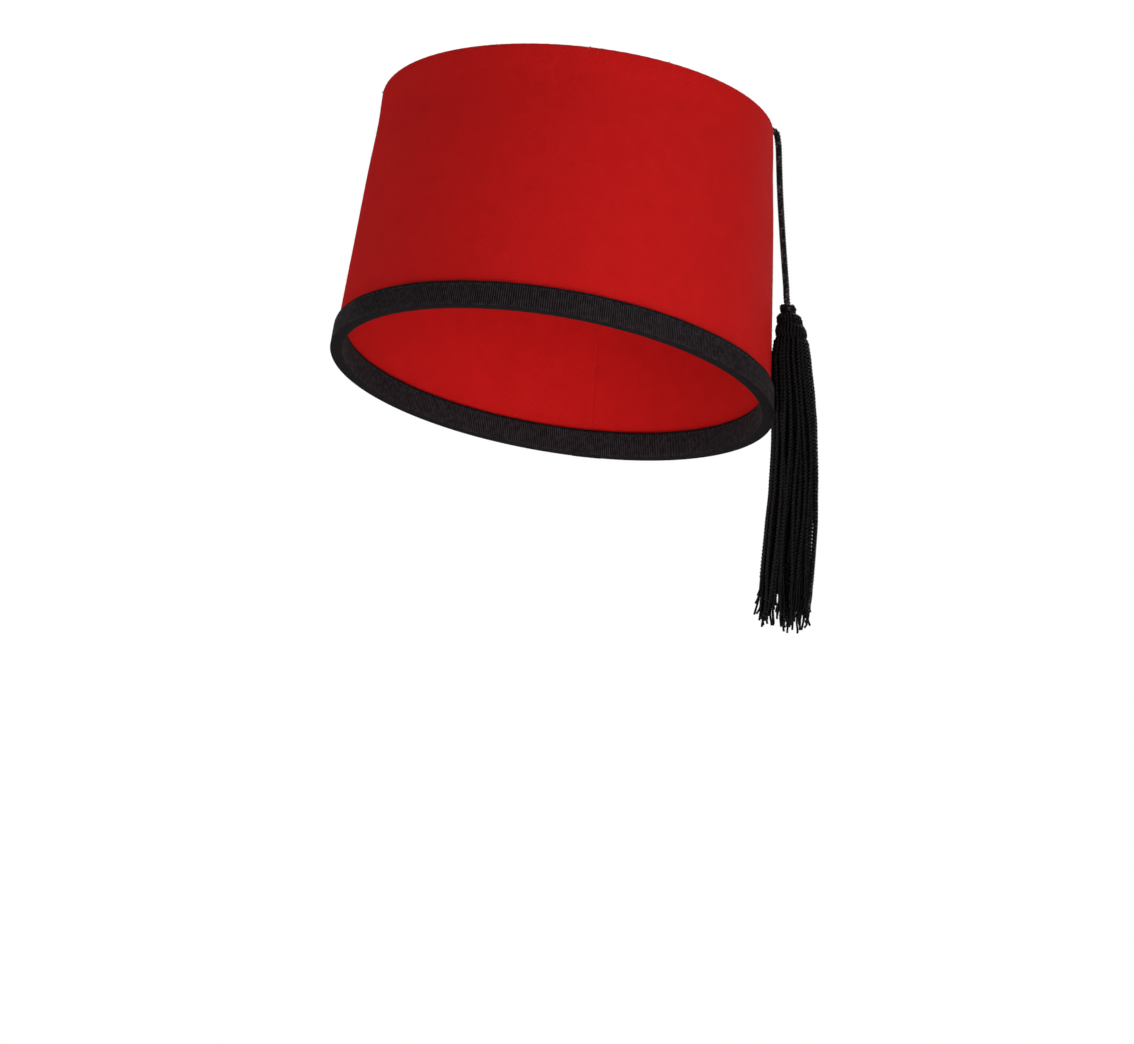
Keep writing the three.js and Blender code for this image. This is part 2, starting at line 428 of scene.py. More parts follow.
def cordMaterial(name, look):
    material, tree, shader = newMaterial(name)
    grain = grainNode(tree, look)
    waver = times(tree, grain["Patches"], look["waver"])
    around = times(tree, meshField(tree, "around"), fullTurn * look["fibresAround"])
    along = times(tree, meshField(tree, "along"), look["fibreSlant"])
    fibres = calc(tree, "SINE", plus(tree, plus(tree, around, waver), along))
    # painted highlight: the colour lightens along the crests of the fibres, and flecks of painted glint sit
    # on one side of each fibre
    lit = span(tree, grain["Fibres"], *look["shineRange"])
    shine = times(tree, span(tree, fibres, -1, 1), lit)
    yarn = blendColors(tree, shine, look["black"], look["bright"])
    patches = grainNode(tree, look, "glintFibre", "glintSize")["Patches"]
    flecks = span(tree, patches, *look["glintRange"])
    paintedGlints = times(tree, flecks, span(tree, fibres, *look["glintSide"]))
    color = blendColors(tree, paintedGlints, yarn, look["paintedGlint"])
    height = plus(tree, times(tree, fibres, look["fibreHeight"]), grain["Fibres"])
    setLook(tree, shader, look, color, height, grain["Fibres"])
    return material


threadLook = {
    "fibreSize": 0.15 * mm,
    "patchSize": 4 * mm,
    "shade": 0.6,  # painted shade in the hollows between fibres, as a share of the colour
    "bump": (0.05 * mm, 0.5),
    "nap_red": ((0.56, 0.016, 0.014, 1), 0.9),  # color and roughness
    "thread_red": ((0.42, 0.010, 0.009, 1), 0.75),
    "thread_black": ((0.0045, 0.0035, 0.004, 1), 0.8),
}


def threadMaterial(name, look):
    material, tree, shader = newMaterial(name)
    light, roughness = look[name]
    fibres = grainNode(tree, look)["Fibres"]
    # painted shade: the thread darkens where its fibres sink
    dark = tuple(look["shade"] * c for c in light[:3]) + (1,)
    color = blendColors(tree, fibres, dark, light)
    setLook(tree, shader, {**look, "steady": {"Roughness": roughness}}, color, fibres, fibres)
    return material


redFelt = feltMaterial(feltLook)
blackRibbon = ribbonMaterial(ribbonLook)
blackCord = cordMaterial("cord_black", cordLook)
blackStrands = cordMaterial("strands_black", strandLook)
napRed, redThread, blackThread = (threadMaterial(name, threadLook) for name in
                                  ("nap_red", "thread_red", "thread_black"))
print("materials made")


# crown of felt

crown = {
    "height": 103.5 * mm,
    "rimWidth": 158.8 * mm,
    "rimLength": 194.6 * mm,
    "topWidth": 144 * mm,
    "topLength": 157.4 * mm,
    "rimSlant": 2.7,  # degrees, dipping towards the tassel
    "felt": 2 * mm,
    "hem": 1.3 * mm,
    "sag": 1.5 * mm,
    "edgeRound": 1.5 * mm,
    "foldTurn": math.radians(50),  # how far wall and top turn into the seam
    "wallTuck": (0.25 * mm, 0.45 * mm),  # down and in
    "topTuck": (0.8 * mm, 0.95 * mm),
    "topGap": 0.1 * mm,
    "underGap": 0.2 * mm,
    "seamGap": 0.12 * mm,
    "columns": 440,
    "ovalSteps": 4000,  # for measuring round the oval
    "wallRows": 40,
    "foldRows": 7,
    "insideRows": 18,
    "underShares": (0, 0.2, 0.4, 0.6, 0.8, 0.92),  # rings below the top
    "topRows": 26,
    "topShare": 0.985,
    "topWave": (0.25 * mm, 3, 7),  # height, turns round, lean
    "stitchPitch": 4.3 * mm,
    "stitchDeep": 0.6 * mm,
    "pucker": 0.07 * mm,
    "puckerReach": 6 * mm,
    "puckerFade": 14,
    "puckerTuck": (0.6, 0.2),  # what is left of it inside the seam
    "puckerTop": (0.6, 0.7),  # in and down
    "uneven": 0.1 * mm,
    "swell": [  # share, turns round, shift, lean, power
        (1.0, 2, 0.8, 0, 1), (0.6, 5, 2.1, 3, 1), (0.35, 9, 0, -4, 2),
    ],
    "waist": 0.45 * mm,  # how far the wall draws in below its edge
    "waistForm": (0.86, 0.13, 0.09),  # place, reach and fade as shares of the height
    "backSeam": 0.4 * mm,  # depth of the groove down the back
    "backGroove": 0.55 * mm,
    "backRidge": (2.4 * mm, 1.3 * mm, 0.45),  # away, wide, share
    "backFade": 3 * mm,
    "backInside": -0.5,
    "backColumns": (0.3, 0.6, 1, 1.5, 2.2, 3, 4),  # mm from the groove
    "backClear": 1.1,  # even columns keep this far from them
    "cordAngle": math.radians(8),  # from +X towards the back
    "cordPress": 0.7 * mm,  # the dent that the cord presses into the edge
    "pressNarrow": 130,
    "pressReach": 9 * mm,
    "pressFade": 8,
    "cut": {  # the felt laid flat: width, length and area in metres
        "wall": (0.149, 0.534, 0.0527),  # a curved strip, so its box is larger
        "top": (0.144, 0.1574, 0.0178),
    },
}
backAngle = math.pi / 2
rimSlope = math.tan(math.radians(crown["rimSlant"]))


def crownHalves(up):
    fallen = max(0.0, 1 - up / crown["height"])
    halfWidth = (crown["topWidth"] + (crown["rimWidth"] - crown["topWidth"]) * fallen) / 2
    halfLength = (crown["topLength"] + (crown["rimLength"] - crown["topLength"]) * fallen) / 2
    return halfWidth, halfLength, fallen


# a point of the slanted oval at this height, inset from it and then drawn to a share of its way out
def crownPoint(angle, up, inset=0.0, share=1.0):
    halfWidth, halfLength, fallen = crownHalves(up)
    reach = max(0.0, 1 - (crown["height"] - up) / crown["pressReach"])
    nearness = math.exp((math.cos(angle - crown["cordAngle"]) - 1) * crown["pressNarrow"])
    press = crown["cordPress"] * nearness * reach * share ** crown["pressFade"]
    x = (halfWidth - inset - press) * share * math.cos(angle)
    y = (halfLength - inset - press) * share * math.sin(angle)
    return Vector((x, y, up - press - rimSlope * x * fallen))


# angles that step evenly along the oval
def evenAngles(count, up, inset=0.0):
    steps = crown["ovalSteps"]
    fine = [crownPoint(fullTurn * k / steps, up, inset) for k in range(steps + 1)]
    run = [0.0]
    for a, b in zip(fine, fine[1:]):
        run.append(run[-1] + (b - a).length)
    angles, k = [], 0
    for n in range(count):
        goal = run[-1] * n / count
        while run[k + 1] < goal:
            k += 1
        angles.append(fullTurn * (k + (goal - run[k]) / (run[k + 1] - run[k])) / steps)
    return angles, run[-1]


def crownAngles():
    angles, around = evenAngles(crown["columns"], crown["height"])
    aside = crown["backColumns"]
    nearSeam = [backAngle + s * mm / (crown["rimLength"] / 2) for s in (*(-a for a in aside), 0, *aside)]
    clear = abs(min(nearSeam) - backAngle) * crown["backClear"]
    kept = [a for a in angles if abs(a - backAngle) > clear]
    return sorted(kept + nearSeam), around


def softSwell(angle, up):  # felt is never quite true
    rise = up / crown["height"]
    wave = sum(share * math.sin(turns * angle + shift + lean * rise) * math.sin(math.pi * rise) ** power
               for share, turns, shift, lean, power in crown["swell"])
    middle, reach, fade = crown["waistForm"]
    waist = math.exp(-(((rise - middle) / reach) ** 2)) * min(1.0, (1 - rise) / fade)
    return crown["uneven"] * wave + crown["waist"] * waist


def seamDip(angle, up):  # the join down the back, drawn in between two soft ridges
    away = abs(angle - backAngle) * crown["rimLength"] / 2
    ridgeAway, ridgeWide, ridgeShare = crown["backRidge"]
    groove = math.exp(-((away / crown["backGroove"]) ** 2))
    ridge = math.exp(-(((away - ridgeAway) / ridgeWide) ** 2))
    fade = min(1.0, max(0.0, (crown["height"] - up) / crown["backFade"]))
    return crown["backSeam"] * (groove - ridgeShare * ridge) * fade


def edgePucker(angle, near, around):  # each stitch of the top seam draws the felt in
    along = angle / fullTurn * around
    return crown["pucker"] * near * (0.5 + 0.5 * math.cos(fullTurn * along / crown["stitchPitch"]))


# up, inset and pucker: up the outside, over the fold into the seam, down the inside
def wallRows():
    height, bend, felt, hem = (crown[key] for key in ("height", "edgeRound", "felt", "hem"))
    outside, fold, inside = (crown[key] for key in ("wallRows", "foldRows", "insideRows"))
    lift = [hem + (height - bend - hem) * k / outside for k in range(outside)]
    rows = [(up, 0.0, max(0.0, 1 - (height - up) / crown["puckerReach"])) for up in lift]
    for k in range(fold):
        turn = crown["foldTurn"] * k / (fold - 1)
        rows.append((height - bend + bend * math.sin(turn), bend * (1 - math.cos(turn)), 1.0))
    down, inward = crown["wallTuck"]
    tucked, hidden = crown["puckerTuck"]
    rows.append((rows[-1][0] - down, rows[-1][1] + inward, tucked))
    rows.append((height - felt - crown["seamGap"], felt, hidden))
    below = height - crown["puckerReach"]
    rows += [(below - (below - hem) * k / (inside - 1), felt, 0.0) for k in range(inside)]
    return rows


def markNap(mesh, first, last):  # the faces that carry nap
    marks = [1.0 if first <= k < last else 0.0 for k in range(len(mesh.polygons))]
    mesh.attributes.new("nap", "FLOAT", "FACE").data.foreach_set("value", marks)


def makeWall():
    angles, around = crownAngles()
    rings = []
    for up, inset, near in wallRows():
        ring = []
        side = 1 if inset < crown["felt"] else crown["backInside"]
        for angle in angles:
            draw = inset + softSwell(angle, up) + seamDip(angle, up) * side
            ring.append(crownPoint(angle, up, draw + edgePucker(angle, near, around)))
        rings.append(ring)
    mesh = skinRings("crown_wall_felt", rings)
    mesh.materials.append(redFelt)
    markNap(mesh, 0, crown["wallRows"] * len(angles))
    return addPiece("crown_wall_felt", mesh, "felt", "crown_wall")


# up, inset, share and pucker: out below the top and round its edge, then back in above
def topRows():
    height, bend, felt, sag = (crown[key] for key in ("height", "edgeRound", "felt", "sag"))
    fold, count, gap = crown["foldRows"], crown["topRows"], crown["topGap"]
    tucked, hidden = crown["puckerTuck"]
    down, inward = crown["topTuck"]
    below = [(height - sag * (1 - s * s) - felt, bend, s, 0.0) for s in crown["underShares"]]
    below.append((height - felt, felt + crown["seamGap"] + crown["underGap"], 1.0, hidden))
    below.append((height - down, inward, 1.0, tucked))
    for k in range(fold):
        turn = crown["foldTurn"] * (1 - k / (fold - 1))
        below.append((height - bend * (1 - math.cos(turn)), bend * (1 - math.sin(turn)) + gap, 1.0, 1.0))
    shares = [1 - crown["topShare"] * (k / count) for k in range(1, count + 1)] + [0]
    above = [(height - sag * (1 - s * s), bend + gap, s, max(0.0, 1 - (1 - s) * crown["puckerFade"]))
             for s in shares]
    return below, above


def makeTop():
    angles, around = crownAngles()
    below, above = topRows()
    tall, turns, lean = crown["topWave"]
    inward, downward = crown["puckerTop"]
    rings = []
    for up, inset, share, near in below + above:
        if share == 0:
            rings.append([crownPoint(0, up, inset, 0)])
            continue
        ring = []
        for angle in angles:
            pucker = edgePucker(angle, near, around)
            wave = tall * math.sin(turns * angle + lean * share) * math.sin(math.pi * share)
            point = crownPoint(angle, up, inset + inward * pucker, share)
            ring.append(point + Vector((0, 0, wave - pucker * downward)))
        rings.append(ring)
    mesh = skinRings("crown_top_felt", rings, closed=False)
    mesh.materials.append(redFelt)
    markNap(mesh, (len(below) - 1) * len(angles), len(mesh.polygons))
    return addPiece("crown_top_felt", mesh, "felt", "crown_top")


wallPiece = makeWall()
topPiece = makeTop()


# nap: short loose fibres that stand off the felt

napSizes = {"Density": 62000.0, "Fibre Length": 1.1 * mm, "Fibre Thick": 0.028 * mm}
napForm = {"bow": 0.3, "tipLift": 0.22, "sizes": (0.35, 1.0)}  # shares of the length
napSeeds = {"wall": (wallPiece, 11), "top": (topPiece, 12)}


def napTree():
    tree, put = newTree("feltNap", {"Density": "Float", "Fibre Length": "Float", "Fibre Thick": "Float",
                                    "Seed": "Int", "Material": "Material"})
    chosen = calc(tree, "GREATER_THAN", readField(tree, "nap"), 0.5)
    spots = addNode(tree, "GeometryNodeDistributePointsOnFaces",
                    {"Mesh": put["Geometry"], "Selection": chosen,
                     "Density": put["Density"], "Seed": put["Seed"]})
    bow = times(tree, put["Fibre Length"], napForm["bow"])
    lift = times(tree, put["Fibre Length"], napForm["tipLift"])
    middle = flow(tree, "ShaderNodeCombineXYZ", {"X": bow, "Z": bow})
    tip = flow(tree, "ShaderNodeCombineXYZ", {"X": put["Fibre Length"], "Z": lift})
    line = flow(tree, "GeometryNodeCurveQuadraticBezier",
                   {"Resolution": 2, "Middle": middle, "End": tip, "Start": (0, 0, 0)})
    section = flow(tree, "GeometryNodeCurvePrimitiveCircle",
                      {"Resolution": 3, "Radius": put["Fibre Thick"]})
    fibre = flow(tree, "GeometryNodeCurveToMesh",
                    {"Curve": line, "Profile Curve": section})
    spin = randomField(tree, 0.0, fullTurn, put["Seed"])
    turn = flow(tree, "FunctionNodeAxisAngleToRotation", {"Axis": (0, 0, 1), "Angle": spin})
    way = flow(tree, "FunctionNodeRotateRotation", rotation_space="LOCAL",
                  sockets={"Rotation": spots.outputs["Rotation"], "Rotate By": turn})
    grown = flow(tree, "GeometryNodeInstanceOnPoints",
                    {"Points": spots.outputs["Points"], "Instance": fibre,
                     "Rotation": way, "Scale": randomField(tree, *napForm["sizes"], put["Seed"])})
    endTree(tree, grown, put["Material"])
    return tree


feltNap = napTree()
for part, (piece, seed) in napSeeds.items():
    mesh = grow(part + "_nap", piece.data.copy(), feltNap, {**napSizes, "Seed": seed, "Material": napRed})
    nap = addPiece(part + "_nap", mesh, "felt")


# stitches laid along a line

stitchForm = {
    "segments": 6,
    "rings": 5,
    "climb": 0.7,  # a slanted stitch leans in and up by this
    "flat": 1.2,
    "size": 0.85,
    "rarity": 9.0,  # of the stitches that stray
    "seed": 5,
}


def stitchTree(form):
    tree, put = newTree("stitchLine", {"Pitch": "Float", "Length": "Float", "Thick": "Float",
                                       "Slant": "Float", "Stray": "Float", "Material": "Material"})
    curve = flow(tree, "GeometryNodeMeshToCurve", {"Mesh": put["Geometry"]})
    spots = addNode(tree, "GeometryNodeCurveToPoints", {"Curve": curve, "Length": put["Pitch"]},
                    mode="LENGTH")
    bead = flow(tree, "GeometryNodeMeshUVSphere",
                   {"Segments": form["segments"], "Rings": form["rings"], "Radius": 0.5})
    shape = flow(tree, "ShaderNodeCombineXYZ", {"X": put["Length"], "Y": put["Thick"], "Z": put["Thick"]})
    stitch = flow(tree, "GeometryNodeTransform", {"Geometry": bead, "Scale": shape})
    place = flow(tree, "GeometryNodeInputPosition")
    outward = calcVector(tree, "NORMALIZE", calcVector(tree, "MULTIPLY", place, (1, 1, 0)))
    climb = calcVector(tree, "ADD", scaled(tree, outward, -form["climb"]), (0, 0, form["climb"]))
    lean = scaled(tree, climb, put["Slant"])
    flat = scaled(tree, spots.outputs["Tangent"], calc(tree, "SUBTRACT", form["flat"], put["Slant"]))
    way = flow(tree, "FunctionNodeAlignRotationToVector",
                  {"Vector": calcVector(tree, "ADD", lean, flat)}, axis="X")
    luck = calc(tree, "POWER", randomField(tree, 0.0, 1.0, form["seed"]), form["rarity"])
    size = plus(tree, form["size"], times(tree, luck, put["Stray"]))
    sewn = flow(tree, "GeometryNodeInstanceOnPoints",
                   {"Points": spots.outputs["Points"], "Instance": stitch,
                    "Rotation": way, "Scale": size})
    endTree(tree, sewn, put["Material"])
    return tree


stitchLine = stitchTree(stitchForm)


def sewPiece(name, lines, stitch, thread, slot):
    base = lineMesh(name + "_line", lines, closed=True)
    return addPiece(name, grow(name, base, stitchLine, {**stitch, "Material": thread}), slot)


topSeam = {"Pitch": crown["stitchPitch"], "Length": 1.7 * mm, "Thick": 0.36 * mm, "Slant": 0.9, "Stray": 1.1}
seamPoints = 400
seamAngles, _ = evenAngles(seamPoints, crown["height"])
seamLine = [crownPoint(a, crown["height"] - crown["stitchDeep"], crown["stitchDeep"]) for a in seamAngles]
sewPiece("top_seam_stitches", [seamLine], topSeam, redThread, "felt")


# ribbon folded over the rim

ribbon = {
    "tall": 9.5 * mm,
    "thick": 0.95 * mm,
    "gap": 0.12 * mm,
    "round": 0.4 * mm,
    "ease": 0.12 * mm,  # how far corners are eased off
    "tuck": 0.1 * mm,
    "turnIn": 0.5 * mm,
    "leafRows": 8,
    "ribPitch": 0.8 * mm,
    "ribHeight": 0.22 * mm,
    "ribForm": (0.0, 0.5, 1.0, 0.5),  # from one hollow to the next
    "ripple": 0.12 * mm,
    "rippleTurns": (23, 7),
    "rippleShift": 1.3,
    "rippleInside": 0.5,
    "lap": 14 * mm,  # where the ends lie over each other at the back
    "lapShift": 0.02,  # radians off the back seam
    "lapThick": 0.4 * mm,
    "lapLeaf": 0.3,  # rows with no more rib than this keep flat
    "stitchDown": 1.3 * mm,
    "stitchOut": 0.13 * mm,
    "cut": (22.5 * mm, 560 * mm),  # laid flat
}


# up, inset and rib round the section: outside leaf, fold, inside leaf. A rib share below one flattens the
# ribs and darkens the colour: a dark line along the upper edges, and a painted shade round the fold
def ribbonRows():
    tall, bend, thick = ribbon["tall"], ribbon["round"], ribbon["thick"]
    ease, tucked, turnIn = ribbon["ease"], ribbon["tall"] - ribbon["tuck"], ribbon["turnIn"]
    near, far = -ribbon["gap"], crown["felt"] + ribbon["gap"]
    outer, inner = near - thick, far + thick
    last = ribbon["leafRows"] - 1
    leaf = [bend + (tall - 2 * bend) * k / last for k in range(last + 1)]
    rows = [(up, outer, 1.0) for up in leaf[:-1]]
    rows += [(leaf[-1], outer, 0.7), (tall - ease, outer + ease, 0.4), (tall, outer + bend, 0.2)]
    rows += [(tucked, near, 0.0), (thick, near, 0.0), (thick, far, 0.0), (tucked, far, 0.0)]
    rows += [(tall, inner - bend, 0.2), (tall - ease, inner - ease, 0.4), (leaf[-1], inner, 0.7)]
    rows += [(up, inner, 1.0) for up in reversed(leaf[:-1])]
    # round the fold the low rib share darkens the colour: painted shade
    rows += [(ease, inner - ease, 0.6), (0, inner - turnIn, 0.3), (0, (inner + outer) / 2, 0.3)]
    rows += [(0, outer + turnIn, 0.3), (ease, outer + ease, 0.6)]
    return rows


def ribbonTree():
    tree, put = newTree("ribs", {"Rib Height": "Float", "Material": "Material"})
    normal = flow(tree, "GeometryNodeInputNormal")
    raised = scaled(tree, normal, times(tree, readField(tree, "ribCrestAndShade"), put["Rib Height"]))
    ribbed = flow(tree, "GeometryNodeSetPosition", {"Geometry": put["Geometry"], "Offset": raised})
    endTree(tree, ribbed, put["Material"])
    return tree


def ribbonPush(angle, up, inset, ribAndShade):  # out on the outside leaf, in on the inside one
    fast, slow = ribbon["rippleTurns"]
    wave = math.sin(fast * angle + ribbon["rippleShift"]) * math.sin(slow * angle)
    ripple = ribbon["ripple"] * wave * up / ribbon["tall"]
    if inset >= 0:
        return ripple * ribbon["rippleInside"]
    lapTurn = ribbon["lap"] / (crown["rimLength"] / 2)
    lapped = abs(angle - backAngle - ribbon["lapShift"]) < lapTurn / 2 and ribAndShade > ribbon["lapLeaf"]
    return -(ripple + (ribbon["lapThick"] if lapped else 0.0))


def makeRibbon():
    form = ribbon["ribForm"]
    middle, outside = ribbon["tall"] / 2, -ribbon["thick"]
    _, around = evenAngles(1, middle, outside)  # for the length only
    ribs = round(around / ribbon["ribPitch"])
    angles, _ = evenAngles(len(form) * ribs, middle, outside)
    rows = ribbonRows()
    rings, crests, across, run = [], [], [], 0.0
    for n, (up, inset, ribAndShade) in enumerate(rows):
        if n:
            run += math.hypot(up - rows[n - 1][0], inset - rows[n - 1][1])
        rings.append([crownPoint(angle, up, inset + ribbonPush(angle, up, inset, ribAndShade)) for angle in angles])
        crests += [form[k % len(form)] * ribAndShade for k in range(len(angles))]
        across += [run] * len(angles)
    base = skinRings("ribbon_base", rings)
    for name, values in (("ribCrestAndShade", crests), ("across", across)):
        base.attributes.new(name, "FLOAT", "POINT").data.foreach_set("value", values)
    ribSizes = {"Rib Height": ribbon["ribHeight"], "Material": blackRibbon}
    return addPiece("rim_ribbon", grow("rim_ribbon", base, ribbonTree(), ribSizes), "ribbon", "rim_binding")


ribbonPiece = makeRibbon()
ribbonSewing = {"Pitch": 3.3 * mm, "Length": 2.5 * mm, "Thick": 0.3 * mm, "Slant": 0.0, "Stray": 0.2}
sewnAt = ribbon["tall"] - ribbon["stitchDown"]
sewnOut = ribbon["gap"] + ribbon["thick"] + ribbon["stitchOut"]
sewnInsets = (-sewnOut, crown["felt"] + sewnOut)
sewingLines = [[crownPoint(a, sewnAt, inset) for a in seamAngles] for inset in sewnInsets]
sewing = sewPiece("ribbon_stitches", sewingLines, ribbonSewing, blackThread, "ribbon")


# twisted cord along any line

def twistTree():
    tree, put = newTree("twistedCord", {"Radius": "Float", "Plies": "Int", "Lay": "Float", "Groove": "Float",
                                        "Step": "Float", "Sides": "Int", "Material": "Material"})
    curve = flow(tree, "GeometryNodeMeshToCurve", {"Mesh": put["Geometry"]})
    even = flow(tree, "GeometryNodeResampleCurve", {"Curve": curve, "Length": put["Step"]},
                   mode="LENGTH")
    run = addNode(tree, "GeometryNodeSplineParameter").outputs["Length"]
    turn = times(tree, calc(tree, "DIVIDE", run, put["Lay"]), fullTurn)
    wound = flow(tree, "GeometryNodeSetCurveTilt", {"Curve": even, "Tilt": turn})
    marked = storeField(tree, wound, "along", run)
    ring = flow(tree, "GeometryNodeCurvePrimitiveCircle", {"Resolution": put["Sides"], "Radius": 1.0})
    share = addNode(tree, "GeometryNodeSplineParameter").outputs["Factor"]
    plies = times(tree, times(tree, share, put["Plies"]), fullTurn)
    hollow = calc(tree, "SUBTRACT", calc(tree, "COSINE", plies), 1.0)
    dent = times(tree, hollow, times(tree, put["Groove"], 0.5))
    wide = times(tree, plus(tree, dent, 1.0), put["Radius"])
    place = flow(tree, "GeometryNodeInputPosition")
    lobed = flow(tree, "GeometryNodeSetPosition",
                    {"Geometry": ring, "Position": scaled(tree, place, wide)})
    named = storeField(tree, lobed, "around", share)
    skin = flow(tree, "GeometryNodeCurveToMesh",
                   {"Curve": marked, "Profile Curve": named, "Scale": readField(tree, "thickness"),
                    "Fill Caps": True})
    endTree(tree, skin, put["Material"])
    return tree


twistedCord = twistTree()


def twistPiece(name, base, twist, thick, material, slot, *nodes):
    values = {**twist, "Radius": thick / 2, "Material": material}
    return addPiece(name, grow(name, base, twistedCord, values), slot, *nodes)


cord = {
    "thick": 2.4 * mm,
    "lobes": 2.6 * mm,  # over the crests of the twist
    "twist": {"Plies": 3, "Lay": 3.6 * mm, "Groove": 0.24, "Step": 0.3 * mm, "Sides": 15},
    "steps": 8,  # between two points of the route
    "route": [  # out from the crown's axis and up, mm
        (4.5, 103.55), (14, 103.6), (26, 103.75), (38, 104), (50, 104.3),
        (60, 104.5), (66, 104.6), (68.95, 104.65), (70.85, 104.45), (72.05, 104),
        (72.85, 103.2), (73.25, 102), (73.6, 100.3), (74.1, 97.6), (74.9, 90.2),
        (76.4, 77.6), (78.35, 63.7), (80.25, 51), (81.2, 44.9), (81.75, 40.4),
        (83.5, 31.9), (85.5, 21.9), (87.2, 11.9), (88.55, 1.9), (89.65, -8.1),
        (90.5, -18.1), (91.1, -28.1), (91.25, -32.1),
    ],
}
sideways = Vector((math.cos(crown["cordAngle"]), math.sin(crown["cordAngle"]), 0))


def smoothLine(points, steps):
    line = []
    padded = [2 * points[0] - points[1], *points, 2 * points[-1] - points[-2]]
    for a, b, c, d in zip(padded, padded[1:], padded[2:], padded[3:]):
        for k in range(steps):
            t = k / steps
            line.append(0.5 * (2 * b + (c - a) * t + (2 * a - 5 * b + 4 * c - d) * t * t
                               + (3 * b - a - 3 * c + d) * t ** 3))
    return line + [points[-1]]


routePoints = [(sideways * out + Vector((0, 0, up))) * mm for out, up in cord["route"]]
cordLine = smoothLine(routePoints, cord["steps"])
cordPiece = twistPiece("tassel_cord_twist", lineMesh("route", [cordLine]), cord["twist"], cord["lobes"],
                       blackCord, "cord", "tassel_cord")


# tassel: strands over its top, round the neck and down, frayed at the tips

tassel = {
    "plumbOut": 91.6 * mm,
    "plumbUp": -53.1 * mm,
    "knotOut": 82.4 * mm,
    "knotUp": 36.9 * mm,
    "hangPower": 2.25,
    "form": [  # up and outer radius, mm
        (35, 1.8), (34.7, 3.4), (34, 4.5), (32.9, 4.9), (30.7, 4.9), (28, 4.6), (26.1, 5.5), (24.1, 6.5),
        (16.9, 7.1), (2.9, 7.6), (-7.1, 8), (-30.1, 8.6), (-45.1, 9.1), (-63.1, 9.3), (-75, 8.9), (-88, 8.3),
    ],
    "smoothBelow": 29,  # mm, from here down the form is eased
    "outer": [(24, 1.0)],  # strands and how far out they hang
    "inner": [(20, 0.76), (14, 0.52), (7, 0.26)],
    "innerTop": 24.2 * mm,
    "strandThick": 1.9 * mm,
    "strandStep": 0.9 * mm,
    "strandEnds": (-77, -60),  # mm
    "innerEnds": (-72, -58),
    "spacing": 0.18,  # how unevenly strands stand, as a share of their step
    "sway": (0.03, 0.12),  # radians
    "swayTurns": 9,
    "swayStart": 3,
    "drift": 0.25,  # radians over the skirt
    "loose": (-0.35, 0.45),  # mm
    "anyTurn": (0, 6.3),  # radians
    "skirtTop": 25 * mm,
    "skirtLong": 100 * mm,
    "neckUp": 27 * mm,  # strands are pinched above this
    "neckSize": 0.55,
    "pinchOver": 6 * mm,
    "lean": 0.5 * mm,  # how far the skirt leans in to the wall
    "flatten": 1.3 * mm,  # and how much further its near side does
    "leanOver": 10 * mm,
    "tipRun": 5,  # steps that give the way an end points
    "soft": 0.6,  # how far strands give way where they lie on the ribbon
    "ribbonAbove": 4 * mm,  # where strands begin to clear the ribbon
    "ribbonBelow": 5 * mm,
    "twist": {"Plies": 2, "Lay": 2.7 * mm, "Groove": 0.5, "Step": 0.34 * mm, "Sides": 10},
    "innerTwist": {"Step": 0.5 * mm, "Sides": 6},  # coarser, as little of it shows
    "seed": 31,
}
tip = {
    "plies": 3,  # each strand frays into these
    "plyOut": 0.42 * mm,
    "ends": (-82.5, -69),  # mm
    "shortest": 4 * mm,
    "curl": (0.2, 0.9),  # mm
    "spread": (0.1, 0.9),
    "twirl": (0.6, 1.5),
    "twirlTurns": 5,
    "steps": 18,
    "rootSteps": 4,  # inside the strand
    "thick": 0.95 * mm,
    "twist": {"Plies": 1, "Lay": 2 * mm, "Groove": 0.0, "Step": 0.7 * mm, "Sides": 6},
}


def polar(radius, angle):
    return radius * math.cos(angle), radius * math.sin(angle)


def hangPoint(across, up):
    above = max(0.0, up - tassel["plumbUp"]) / (tassel["knotUp"] - tassel["plumbUp"])
    out = tassel["plumbOut"] - (tassel["plumbOut"] - tassel["knotOut"]) * above ** tassel["hangPower"]
    return sideways * out + Vector((*across, up))


def formRadius(up):
    rows = tassel["form"]
    for (highUp, highOut), (lowUp, lowOut) in zip(rows, rows[1:]):
        if up / mm >= lowUp:
            share = min(1.0, max(0.0, (highUp - up / mm) / (highUp - lowUp)))
            share = share * share * (3 - 2 * share) if highUp < tassel["smoothBelow"] else share
            return (highOut + (lowOut - highOut) * share) * mm
    return rows[-1][1] * mm


def offTheWall(place, clear):  # keeps a strand outside the felt and the ribbon it leans on
    above, below = tassel["ribbonAbove"], tassel["ribbonBelow"]
    up = place.z
    for _ in range(3):  # settles on the height along the slanted crown
        up = place.z + rimSlope * place.x * max(0.0, 1 - up / crown["height"])
    halfWidth, halfLength, _ = crownHalves(max(0.0, up))
    ramp = min(1.0, max(0.0, (ribbon["tall"] + above - up) / above), max(0.0, 1 + up / below))
    need = clear + ramp * (ribbon["gap"] + ribbon["thick"] + ribbon["ribHeight"])
    reach = math.hypot(place.x / (halfWidth + need), place.y / (halfLength + need))
    if up > -below and reach < 1:
        return Vector((place.x / reach, place.y / reach, place.z))
    return place


def belowNeck(up, over):
    return min(1.0, max(0.0, (tassel["neckUp"] - up) / over))


